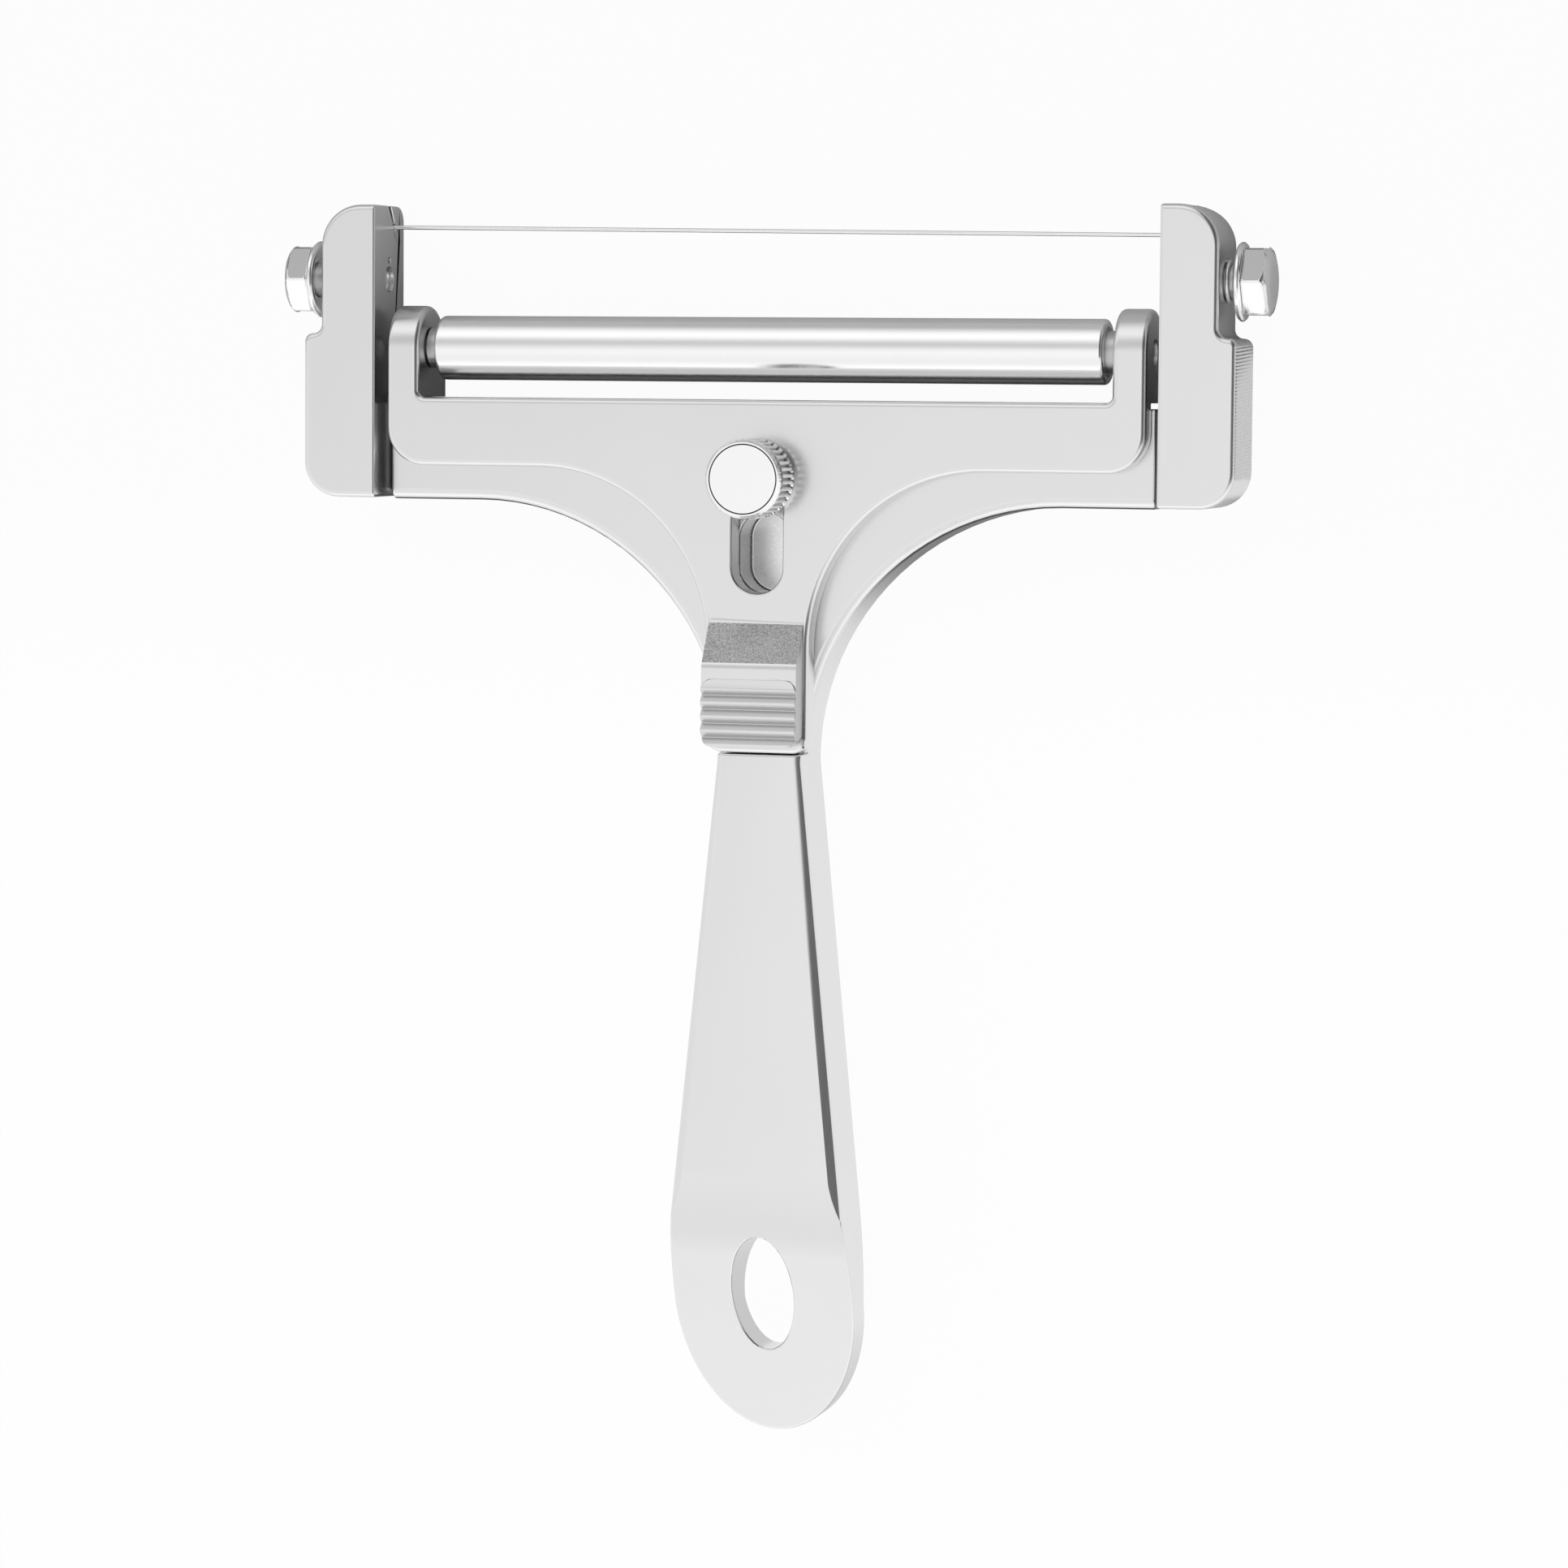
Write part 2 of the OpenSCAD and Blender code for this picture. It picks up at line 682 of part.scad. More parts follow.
module roller_bush() {
    shoulder_len = roller_end_gap - shoulder_gap;
    along_axle() difference() {
        union() {
            translate([0, 0, roller_half - bush_len]) cylinder(r = roller_bore_r, h = bush_len);
            translate([0, 0, roller_half]) cylinder(d = shoulder_d, h = shoulder_len);
        }
        translate([0, 0, roller_half - bush_len - past]) {
            cylinder(r = axle_d / 2 + axle_clear, h = bush_len + shoulder_len + 2 * past);
        }
    }
}

module roller_bush_left() {
    color(steel_colour) placed() on_side(-1) roller_bush();
}

module roller_bush_right() {
    color(steel_colour) placed() on_side(1) roller_bush();
}

module roller_axle() {
    half = ear_out - 0.3;
    color(steel_colour) placed() along_axle() translate([0, 0, -half]) cylinder(d = axle_d, h = 2 * half);
}

module clamp_knob() {
    knob_r = knob_d / 2;
    color(bright_colour) placed() translate([0, clamp_y, knob_z]) difference() {
        rotate_extrude() polygon([[0, 0], [knob_r - knob_bevel, 0], [knob_r, knob_bevel],
            [knob_r, knob_h - knob_bevel], [knob_r - knob_bevel, knob_h], [0, knob_h]]);
        for (i = [0 : flute_count - 1]) {
            rotate([0, 0, 360 * i / flute_count]) translate([knob_r + flute_r / 3, 0, -past]) {
                cylinder(r = flute_r, h = knob_h - 2 * knob_bevel + past, $fn = 16);
            }
        }
        translate([0, 0, -past]) cylinder(d = stud_d, h = stud_top_z - knob_z + past);
    }
}

module clamp_stud() {
    color(steel_colour) placed() translate([0, clamp_y, stud_foot_z]) {
        cylinder(d = stud_d, h = stud_top_z - stud_foot_z);
    }
}

module clamp_washer() {
    color(steel_colour) placed() translate([0, clamp_y, washer_z]) difference() {
        cylinder(d = washer_d, h = washer_t);
        translate([0, 0, -past]) cylinder(r = stud_d / 2 + thread_clear, h = washer_t + 2 * past);
    }
}

module clamp_nut() {
    color(steel_colour) placed() translate([0, clamp_y, nut_sink]) difference() {
        cylinder(r = nut_r, h = nut_t, $fn = 6);
        translate([0, 0, -past]) cylinder(r = stud_d / 2 + thread_clear, h = nut_t + 2 * past);
    }
}

// A straight stretch of wire, which stops just short of the joints at its ends
module wire_run(p, q) {
    v = q - p;
    translate(p) rotate([0, acos(v[2] / norm(v)), atan2(v[1], v[0])]) translate([0, 0, joint_gap]) {
        cylinder(d = wire_d, h = norm(v) - 2 * joint_gap, $fn = 24);
    }
}

module wire_joint(p) {
    translate(p) sphere(r = wire_d / 2 + 0.012, $fn = 32);
}

// One end of the wire: through the arm to the collar, round it and back through the small hole
module wire_end(side) {
    start = wire_start(side);
    knee = [wire_knee_x, end_wire_y(side), wire_z];
    turn_foot = wire_turn_foot(side);
    tail_top = [wrap_x, tension_y + wrap_r, tension_z];
    tail_foot = [arm_in + 0.2, tension_y + wrap_r, tension_z];
    on_side(side) {
        wire_joint(knee);
        wire_run(knee, turn_foot);
        // Turn round the collar
        wire_joint(turn_foot);
        translate([wrap_x, tension_y, tension_z]) rotate([90, 0, 90]) {
            rotate_extrude(angle = 360 + start) translate([wrap_r, 0]) circle(d = wire_d, $fn = 24);
        }
        // Tail through the arm
        wire_joint(tail_top);
        wire_run(tail_top, tail_foot);
    }
}

module cutting_wire() {
    color(bright_colour) placed() {
        wire_run([-wire_knee_x, end_wire_y(-1), wire_z], [wire_knee_x, end_wire_y(1), wire_z]);
        wire_end(1);
        wire_end(-1);
    }
}

module wire_collar() {
    translate([arm_out_top, tension_y, tension_z]) rotate([0, 90, 0]) difference() {
        cylinder(d = collar_d, h = collar_t);
        translate([0, 0, -past]) cylinder(r = shank_d / 2 + thread_clear, h = collar_t + 2 * past);
    }
}

module wire_collar_left() {
    color(steel_colour) placed() on_side(-1) wire_collar();
}

module wire_collar_right() {
    color(steel_colour) placed() on_side(1) wire_collar();
}

module tension_washer() {
    edge = flange_t / 3;
    inner = shank_d / 2 + thread_clear;
    translate([flange_x, tension_y, tension_z]) rotate([0, 90, 0]) rotate_extrude() {
        polygon([[inner, 0], [flange_d / 2 - edge, 0], [flange_d / 2, edge],
                 [flange_d / 2, flange_t - edge], [flange_d / 2 - edge, flange_t], [inner, flange_t]]);
    }
}

module tension_washer_left() {
    color(bright_colour) placed() on_side(-1) tension_washer();
}

module tension_washer_right() {
    color(bright_colour) placed() on_side(1) tension_washer();
}

// Hexagon head with bevelled corners, one corner towards the front
module tension_screw() {
    shank_len = hex_x - arm_in - shank_sink;
    translate([hex_x, tension_y, tension_z]) rotate([0, 90, 0]) {
        intersection() {
            cylinder(r = hex_r, h = hex_h, $fn = 6);
            rotate_extrude() polygon([[0, 0], [hex_r, 0], [hex_r, hex_h - hex_bevel],
                [hex_r - 1.3 * hex_bevel, hex_h], [0, hex_h]]);
        }
        translate([0, 0, -shank_len]) cylinder(d = shank_d, h = shank_len + past);
    }
}

module tension_screw_left() {
    color(bright_colour) placed() on_side(-1) tension_screw();
}

module tension_screw_right() {
    color(bright_colour) placed() on_side(1) tension_screw();
}

frame_casting();
carriage_casting();
roller_tube();
roller_bush_left();
roller_bush_right();
roller_axle();
clamp_knob();
clamp_stud();
clamp_washer();
clamp_nut();
cutting_wire();
wire_collar_left();
wire_collar_right();
tension_washer_left();
tension_washer_right();
tension_screw_left();
tension_screw_right();
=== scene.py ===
import math
import bmesh
import bpy
from mathutils import Matrix, Vector


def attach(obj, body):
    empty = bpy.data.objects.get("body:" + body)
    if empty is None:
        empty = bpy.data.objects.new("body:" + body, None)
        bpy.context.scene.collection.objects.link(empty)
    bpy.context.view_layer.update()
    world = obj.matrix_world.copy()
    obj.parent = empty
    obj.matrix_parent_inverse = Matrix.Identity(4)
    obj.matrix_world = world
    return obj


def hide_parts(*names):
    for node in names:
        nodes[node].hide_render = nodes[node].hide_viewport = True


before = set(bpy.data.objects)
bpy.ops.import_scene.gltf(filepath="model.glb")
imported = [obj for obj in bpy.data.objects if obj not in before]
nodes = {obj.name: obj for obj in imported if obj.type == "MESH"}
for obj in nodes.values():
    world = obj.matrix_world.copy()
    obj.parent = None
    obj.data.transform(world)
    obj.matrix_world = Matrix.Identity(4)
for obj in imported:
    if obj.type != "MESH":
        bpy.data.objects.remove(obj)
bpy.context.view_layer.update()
mm = 0.001
far = math.inf
print("frame loaded:", len(nodes), "nodes")

# The slicer is measured in mm along its own lines: x across, y from the tail tip to the wire, z to the front.
# At rest it leans on its bent tail, so what is made along those lines is turned and moved once.
restPose = {"tilt": 2.421935, "middle": 75.022558, "lift": 6.255994}
restMatrix = Matrix.Translation((0, -restPose["middle"] * mm, restPose["lift"] * mm)) @ Matrix.Rotation(
    -math.radians(restPose["tilt"]), 4, "X")
restBack = restMatrix.inverted()
restTurn = restBack.to_3x3().normalized()

# Camera: the photograph's viewpoint, worked out from the edges of the arms, the handle and the wire
camera = {"place": (179.1675, 129.90, 615.36), "aim": (2.0652, 80.357, 5.0), "roll": 0.45, "lens": 120.955,
          "sensor": 36, "nearest": 0.05, "farthest": 20}
cameraData = bpy.data.cameras.new("photoCamera")
cameraData.lens = camera["lens"]
cameraData.sensor_width = camera["sensor"]
cameraData.clip_start = camera["nearest"]
cameraData.clip_end = camera["farthest"]
cameraObject = bpy.data.objects.new("photoCamera", cameraData)
bpy.context.collection.objects.link(cameraObject)
cameraPlace = Vector(camera["place"]) * mm
viewLine = (Vector(camera["aim"]) * mm - cameraPlace).normalized()
right = viewLine.cross(Vector((0, 1, 0))).normalized()
up = right.cross(viewLine)
turn = math.radians(camera["roll"])
right, up = right * math.cos(turn) + up * math.sin(turn), up * math.cos(turn) - right * math.sin(turn)
cameraTurn = Matrix((right, up, -viewLine)).transposed().to_4x4()
cameraObject.matrix_world = restMatrix @ Matrix.Translation(cameraPlace) @ cameraTurn
bpy.context.scene.camera = cameraObject
print("camera placed")


# Nodes and shared effects
def addNode(tree, kind, **settings):
    node = tree.nodes.new(kind)
    for name, value in settings.items():
        setattr(node, name, value)
    return node


def addSocket(group, name, way, value=None, kind="NodeSocketFloat"):
    socket = group.interface.new_socket(name=name, in_out=way, socket_type=kind)
    if value is not None:
        socket.default_value = value


def calculate(tree, operation, *values):
    # A math node on sockets and plain numbers
    node = addNode(tree, "ShaderNodeMath", operation=operation)
    for socket, value in zip(node.inputs, values):
        if isinstance(value, bpy.types.NodeSocket):
            tree.links.new(value, socket)
        else:
            socket.default_value = value
    return node.outputs[0]


def mapValue(tree, source, start, end, low=0, high=1, way="LINEAR"):
    # A value that goes from low to high as the source goes from start to end
    ramp = addNode(tree, "ShaderNodeMapRange", interpolation_type=way)
    for name, value in (("From Min", start), ("From Max", end), ("To Min", low), ("To Max", high)):
        ramp.inputs[name].default_value = value
    tree.links.new(source, ramp.inputs["Value"])
    return ramp.outputs["Result"]


def spread(tree, source, low, high):
    # Noise lies mostly between 0.3 and 0.7, and is spread from low to high
    return mapValue(tree, source, 0.3, 0.7, low, high)


def addBump(tree, height, depth, under=None):
    # A bump of the given depth in mm, over another one's normal
    bump = addNode(tree, "ShaderNodeBump")
    bump.inputs["Strength"].default_value = 1
    bump.inputs["Distance"].default_value = depth * mm
    tree.links.new(height, bump.inputs["Height"])
    if under is not None:
        tree.links.new(under, bump.inputs["Normal"])
    return bump.outputs["Normal"]


def makeGrainGroup():
    # Fine grain and broad soft patches on object coordinates, both from 0 to 1
    group = bpy.data.node_groups.new("metalGrain", "ShaderNodeTree")
    addSocket(group, "Grain Scale", "INPUT", 5000.0)
    addSocket(group, "Patch Scale", "INPUT", 70.0)
    addSocket(group, "Stretch", "INPUT", (1, 1, 1), "NodeSocketVector")
    addSocket(group, "Grain", "OUTPUT")
    addSocket(group, "Patch", "OUTPUT")
    entry = addNode(group, "NodeGroupInput")
    leave = addNode(group, "NodeGroupOutput")
    coordinates = addNode(group, "ShaderNodeTexCoord").outputs["Object"]
    stretched = addNode(group, "ShaderNodeVectorMath", operation="MULTIPLY")
    group.links.new(coordinates, stretched.inputs[0])
    group.links.new(entry.outputs["Stretch"], stretched.inputs[1])
    for name, place, detail in (("Grain", stretched.outputs[0], 2), ("Patch", coordinates, 3)):
        noise = addNode(group, "ShaderNodeTexNoise")
        noise.inputs["Detail"].default_value = detail
        group.links.new(place, noise.inputs["Vector"])
        group.links.new(entry.outputs[name + " Scale"], noise.inputs["Scale"])
        group.links.new(noise.outputs["Fac"], leave.inputs[name])
    return group


# Fine cross ridges on the lower outer walls of the arms. Each pair says where they begin and where they are
# full, in mm in the rest pose.
serration = {"pitch": 0.41, "depth": 0.14, "out": (57.85, 57.95), "tailEnd": (40.9, 41.1),
             "wireEnd": (58.6, 58.4)}


def makeSerrationGroup():
    # The ridges' height, from -1 to 1
    group = bpy.data.node_groups.new("armSerration", "ShaderNodeTree")
    addSocket(group, "Height", "OUTPUT")
    leave = addNode(group, "NodeGroupOutput")
    coordinates = addNode(group, "ShaderNodeTexCoord")
    parts = addNode(group, "ShaderNodeSeparateXYZ")
    group.links.new(coordinates.outputs["Object"], parts.inputs[0])
    side = calculate(group, "ABSOLUTE", parts.outputs["X"])

    def fadeIn(source, name):
        begin, full = serration[name]
        return mapValue(group, source, begin * mm, full * mm, way="SMOOTHSTEP")

    mask = calculate(group, "MULTIPLY", fadeIn(side, "out"), fadeIn(parts.outputs["Y"], "tailEnd"))
    mask = calculate(group, "MULTIPLY", mask, fadeIn(parts.outputs["Y"], "wireEnd"))
    phase = calculate(group, "MULTIPLY", parts.outputs["Y"], 2 * math.pi / (serration["pitch"] * mm))
    wave = calculate(group, "SINE", phase)
    group.links.new(calculate(group, "MULTIPLY", wave, mask), leave.inputs["Height"])
    return group


grainGroup = makeGrainGroup()
serrationGroup = makeSerrationGroup()


def useGroup(tree, group, **values):
    node = addNode(tree, "ShaderNodeGroup", node_tree=group)
    for name, value in values.items():
        node.inputs[name.replace("_", " ")].default_value = value
    return node


def makeMetal(name, dark, light, rough, grain, serrated=False, painted=None):
    # A bare metal: two greys mixed by its patches and grain, roughness and a shallow bump by its grain.
    # An attribute painted on the mesh turns it to the given darker grey, as painted shade.
    material = bpy.data.materials.new(name)
    material.use_nodes = True
    tree = material.node_tree
    shader = tree.nodes["Principled BSDF"]
    shader.inputs["Metallic"].default_value = 1
    skin = useGroup(tree, grainGroup, Grain_Scale=grain["scale"], Patch_Scale=grain["patch"],
                    Stretch=grain.get("stretch", (1, 1, 1)))
    grainShare = spread(tree, skin.outputs["Grain"], 0, 1)
    patchShare = spread(tree, skin.outputs["Patch"], 0, 1 - grain["share"])
    blend = calculate(tree, "MULTIPLY_ADD", grainShare, grain["share"], patchShare)
    tone = addNode(tree, "ShaderNodeMix", data_type="RGBA")
    tone.inputs["A"].default_value = (*dark, 1)
    tone.inputs["B"].default_value = (*light, 1)
    tree.links.new(blend, tone.inputs["Factor"])
    colour = tone.outputs["Result"]
    if painted:
        shade = addNode(tree, "ShaderNodeAttribute", attribute_name=painted["attribute"])
        darker = addNode(tree, "ShaderNodeMix", data_type="RGBA")
        darker.inputs["B"].default_value = (*painted["grey"], 1)
        tree.links.new(shade.outputs["Fac"], darker.inputs["Factor"])
        tree.links.new(colour, darker.inputs["A"])
        colour = darker.outputs["Result"]
    tree.links.new(colour, shader.inputs["Base Color"])
    tree.links.new(spread(tree, skin.outputs["Grain"], *rough), shader.inputs["Roughness"])
    normal = addBump(tree, skin.outputs["Grain"], grain["depth"])
    if serrated:
        ridges = useGroup(tree, serrationGroup)
        normal = addBump(tree, ridges.outputs["Height"], serration["depth"], under=normal)
    tree.links.new(normal, shader.inputs["Normal"])
    return material


# The painted attributes of these metals darken them as painted shade: wallShade, facetShade and turnedShade
satinCast = makeMetal("satinCast", (0.775, 0.775, 0.777), (0.795, 0.795, 0.793), (0.22, 0.26),
                      {"scale": 2500, "patch": 60, "share": 0.5, "depth": 0.0004, "stretch": (1, 0.03, 1)},
                      serrated=True, painted={"attribute": "wallShade", "grey": (0.05, 0.05, 0.055)})
blastedCast = makeMetal("blastedCast", (0.2, 0.2, 0.203), (0.7, 0.7, 0.702), (0.4, 0.6),
                        {"scale": 5000, "patch": 220, "share": 0.85, "depth": 0.02})
# A paler, brighter copy of the casting's metal, as painted light on the window's floor and foot
paintedLightCast = makeMetal("paintedLightCast", (0.95, 0.95, 0.95), (0.98, 0.98, 0.98), (0.26, 0.32),
                     {"scale": 2500, "patch": 60, "share": 0.5, "depth": 0.0002})
polishedSteel = makeMetal("polishedSteel", (0.91, 0.91, 0.915), (0.95, 0.95, 0.95), (0.15, 0.19),
                          {"scale": 900, "patch": 90, "share": 0.6, "depth": 0.0002, "stretch": (40, 1, 1)})
platedSteel = makeMetal("platedSteel", (0.9, 0.9, 0.9), (0.95, 0.95, 0.95), (0.14, 0.18),
                        {"scale": 2500, "patch": 200, "share": 0.5, "depth": 0.0002},
                        painted={"attribute": "facetShade", "grey": (0.42, 0.42, 0.425)})
knurledSteel = makeMetal("knurledSteel", (0.96, 0.96, 0.96), (0.99, 0.99, 0.99), (0.18, 0.22),
                         {"scale": 2500, "patch": 200, "share": 0.5, "depth": 0.0002},
                         painted={"attribute": "turnedShade", "grey": (0.34, 0.34, 0.345)})
plainSteel = makeMetal("plainSteel", (0.5, 0.5, 0.505), (0.6, 0.6, 0.605), (0.3, 0.4),
                       {"scale": 3000, "patch": 200, "share": 0.5, "depth": 0.002})
wireSteel = makeMetal("wireSteel", (0.82, 0.82, 0.825), (0.9, 0.9, 0.905), (0.18, 0.25),
                      {"scale": 2500, "patch": 150, "share": 0.6, "depth": 0.0008})
print("materials made")


# Selecting, shaping and finishing
def takeUp(piece):
    if bpy.context.object and bpy.context.object.mode != "OBJECT":
        bpy.ops.object.mode_set(mode="OBJECT")
    bpy.ops.object.select_all(action="DESELECT")
    piece.select_set(True)
    bpy.context.view_layer.objects.active = piece


def applyModifier(piece, kind, **settings):
    modifier = piece.modifiers.new(kind.lower(), kind)
    for name, value in settings.items():
        setattr(modifier, name, value)
    takeUp(piece)
    bpy.ops.object.modifier_apply(modifier=modifier.name)


def selectParts(piece, mode, chosen):
    # In edit mode: selects the faces, edges or vertices for which chosen is true
    bpy.context.tool_settings.mesh_select_mode = (mode == "verts", mode == "edges", mode == "faces")
    bpy.ops.mesh.select_all(action="DESELECT")
    mesh = bmesh.from_edit_mesh(piece.data)
    for part in getattr(mesh, mode):
        part.select_set(bool(chosen(part)))
    mesh.select_flush_mode()
    bmesh.update_edit_mesh(piece.data)


def giveFaces(piece, slotNumber, chosen):
    # Gives the chosen faces the material in the given slot
    takeUp(piece)
    bpy.ops.object.mode_set(mode="EDIT")
    selectParts(piece, "faces", chosen)
    piece.active_material_index = slotNumber
    bpy.ops.object.material_slot_assign()
    bpy.ops.object.mode_set(mode="OBJECT")


def finishPiece(piece, material, body, replaced, angle=35, crisp=None):
    # Smooths a piece, but not over edges that are crisp or turn further than the angle, and ties it to its body
    if not piece.data.materials:
        piece.data.materials.append(material)
    takeUp(piece)
    bpy.ops.object.shade_smooth_by_angle(angle=math.radians(angle))
    if crisp:
        bpy.ops.object.mode_set(mode="EDIT")
        selectParts(piece, "edges", crisp)
        bpy.ops.mesh.mark_sharp()
        bpy.ops.object.mode_set(mode="OBJECT")
    applyModifier(piece, "WEIGHTED_NORMAL", mode="FACE_AREA", weight=50, keep_sharp=True)
    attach(piece, body)
    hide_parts(*replaced)


def along(point):
    # A point of the rest pose, in mm along the slicer's own lines
    return (restBack @ point) / mm


def within(point, place):
    # A place gives limits for x, as the distance from the middle plane, and for y and z, in mm
    values = {"x": abs(point.x), "y": point.y, "z": point.z}
    return all(low < values[axis] < high for axis, (low, high) in place.items())


def faceAt(face):
    return along(face.calc_center_median()), restTurn @ face.normal


rounding = {"merge": 0.002, "flat": 0.4, "segments": 4}


def softenNode(nodeName, pieceName, widthOf):
    # A copy of a CAD node's mesh, merged, its flat faces joined again, and its edges rounded as on the real
    # piece. widthOf gives an edge's width in mm from its two ends and from the angle between its faces.
    mesh = nodes[nodeName].data.copy()
    piece = bpy.data.objects.new(pieceName, mesh)
    mesh.name = pieceName
    bpy.context.collection.objects.link(piece)
    mesh.materials.clear()
    takeUp(piece)
    bpy.ops.mesh.customdata_custom_splitnormals_clear()
    bpy.ops.object.mode_set(mode="EDIT")
    bpy.ops.mesh.select_all(action="SELECT")
    bpy.ops.mesh.remove_doubles(threshold=rounding["merge"] * mm)
    bpy.ops.mesh.dissolve_limited(angle_limit=math.radians(rounding["flat"]))
    edit = bmesh.from_edit_mesh(mesh)
    weight = edit.edges.layers.float.new("bevel_weight_edge")
    for edge in edit.edges:
        turned = math.degrees(edge.calc_face_angle(0))
        edge[weight] = widthOf(along(edge.verts[0].co), along(edge.verts[1].co), turned)
    bmesh.update_edit_mesh(mesh)
    bpy.ops.object.mode_set(mode="OBJECT")
    applyModifier(piece, "BEVEL", limit_method="WEIGHT", width=mm, segments=rounding["segments"],
                  use_clamp_overlap=False, miter_outer="MITER_SHARP")
    return piece


def paintFaces(piece, attribute, shadeOf):
    # A shade from 0 to 1 at each corner of each face, from the corner's place and the face's normal
    painted = piece.data.attributes.new(attribute, "FLOAT", "CORNER")
    for face in piece.data.polygons:
        normal = restTurn @ face.normal
        for loop in face.loop_indices:
            point = along(piece.data.vertices[piece.data.loops[loop].vertex_index].co)
            painted.data[loop].value = shadeOf(point, normal)


# Frame casting: soft edges all round, and other widths at the places below. The first place that holds both
# ends of an edge counts. Edges that turn by less than "turned" degrees stay as they are.
bodyEdges = {"turned": 42, "plain": 0.3, "armFront": 0.7, "armInner": 0.35, "cutRear": 0.3, "bore": 0.12,
             "windowFoot": 0.85, "window": 0.22, "nut": 0.1}
bodyPlaces = {"bore": {"x": (48.7, far), "y": (138.5, far), "z": (2.05, 9.5)},
              "armInner": {"x": (48.7, 48.9), "z": (10.4, far)},
              "armFront": {"x": (48.7, far), "z": (10.4, far)},
              "nut": {"x": (-far, 4.2), "y": (113.8, 120.9)},
              "windowFoot": {"x": (-far, 3.4), "y": (103, 106.6), "z": (6.8, far)},
              "window": {"x": (-far, 3.4), "y": (103, 114)}}
cutRear = {"from": 147, "level": 4.2, "slope": 0.1}  # the saw cut's lower edge, beyond the wire


def atCutRear(point):
    beyond = point.y - cutRear["from"]
    return beyond > 0 and point.z < cutRear["level"] + cutRear["slope"] * beyond


def bodyWidth(first, second, turned):
    if turned < bodyEdges["turned"]:
        return 0
    for name, place in bodyPlaces.items():
        if within(first, place) and within(second, place):
            if name == "bore" and atCutRear(first) and atCutRear(second):
                return bodyEdges["cutRear"]
            return bodyEdges[name]
    return bodyEdges["plain"]


# Painted shade on the frame casting. The wall under the arches is painted dark, and paler towards the neck.
# The slot's wall that faces right, the grooves beside the arms, the tail's edge and the hole's wall get painted
# shade too.
arch = {"x": 36.3, "y": 83.2, "radius": 31, "from": 0.5, "to": 0.84,
        "wall": {"x": (-far, 48.9), "y": (80, 115.5)}}
slot = {"shade": 0.5, "place": {"x": (-far, 3.4), "y": (103, 115)}}
groove = {"shade": 0.6, "place": {"x": (47.7, 48.9), "y": (103, 128), "z": (-far, 6.9)}, "rim": 48.6}
tail = {"hole": 0.3, "edge": 0.5, "from": 15, "to": 3, "turned": 0.6, "steep": 0.6, "end": 27,
        "holePlace": {"x": (-far, 5.5), "y": (11, far)}}
steep = 0.5  # a wall's normal rises by less than this


def onSlotWall(point, normal):
    return within(point, slot["place"]) and normal.x > 0.3 and abs(normal.z) < steep


def tailShade(point, normal):
    if within(point, tail["holePlace"]):
        return tail["hole"] if normal.x > 0 else 0
    if normal.x > 0 and point.y < tail["from"]:
        down = min(1, (tail["from"] - point.y) / (tail["from"] - tail["to"]))
        return tail["edge"] * down * min(1, normal.x / tail["turned"])
    return 0


def wallShade(point, normal):
    if onSlotWall(point, normal):
        return slot["shade"]
    if point.y < tail["end"] and abs(normal.z) < tail["steep"]:
        return tailShade(point, normal)
    if within(point, groove["place"]) and (abs(point.x) < groove["rim"] or normal.z > steep):
        return groove["shade"]
    if abs(normal.z) > steep or normal.y > -0.1 or not within(point, arch["wall"]):
        return 0
    down = 1 if abs(point.x) > arch["x"] else (point.y - arch["y"]) / arch["radius"]
    share = min(1, max(0, (down - arch["from"]) / (arch["to"] - arch["from"])))
    return share * share * (3 - 2 * share)


# Painted light: the window's floor and foot behind the slot take a paler, brighter copy of the casting's metal
paintedLightFloor = {"x": (-far, 3.3), "y": (103, 114), "z": (1.5, 2.2)}
paintedLightFoot = {"x": (-far, 4.1), "y": (102, 106.6), "z": (5.8, 7.05)}


def getsPaintedLight(face):
    centre, normal = faceAt(face)
    onFloor = within(centre, paintedLightFloor) and normal.z > 0.9
    return onFloor or within(centre, paintedLightFoot) and 0.1 < normal.z < 0.99


def bordersBevel(edge):
    # The handle's slanting bevels keep a crisp border all round, also where they end at the tail's bend
    handleTop = 74
    if any(along(vert.co).y > handleTop for vert in edge.verts):
        return False
    slanting = [0.3 < abs(normal.x) < 0.8 and normal.z > 0.5
                for normal in (restTurn @ face.normal for face in edge.link_faces)]
    return any(slanting) and not all(slanting)


castBody = softenNode("frame_casting", "castBody", bodyWidth)
paintFaces(castBody, "wallShade", wallShade)
castBody.data.materials.append(satinCast)
castBody.data.materials.append(paintedLightCast)
giveFaces(castBody, 1, getsPaintedLight)
finishPiece(castBody, satinCast, "frame", ["frame_casting"], crisp=bordersBevel)
print("frame casting softened")

# Carriage casting: wider round edges at the front, crisp ribs, and the rough ramp of the thumb tab
slideEdges = {"turned": 42, "tabTurned": 25, "plain": 0.3, "front": 0.7, "slot": 0.25, "ramp": 0.4,
              "pad": 0.06, "tab": 0.6, "hole": 0.15}
slidePlaces = {"tab": {"x": (-far, 6.1), "y": (85, 100.6), "z": (10.2, far)},
               "tabRamp": {"y": (94.5, far)},
               "tabPad": {"y": (-far, 93.7), "z": (13, far)},
               "tabFront": {"y": (93.7, far), "z": (10.5, far)},
               "slot": {"x": (-far, 3.3), "y": (103, 121)},
               "innerCorner": {"x": (41.8, 44.2), "y": (125, 128.2), "z": (-far, 8)},
               "front": {"z": (10.2, far)},
               "ears": {"y": (128, far)}}
ear = {"y": 132.7, "z": 5.25, "hole": 1.7, "outline": 4.9}
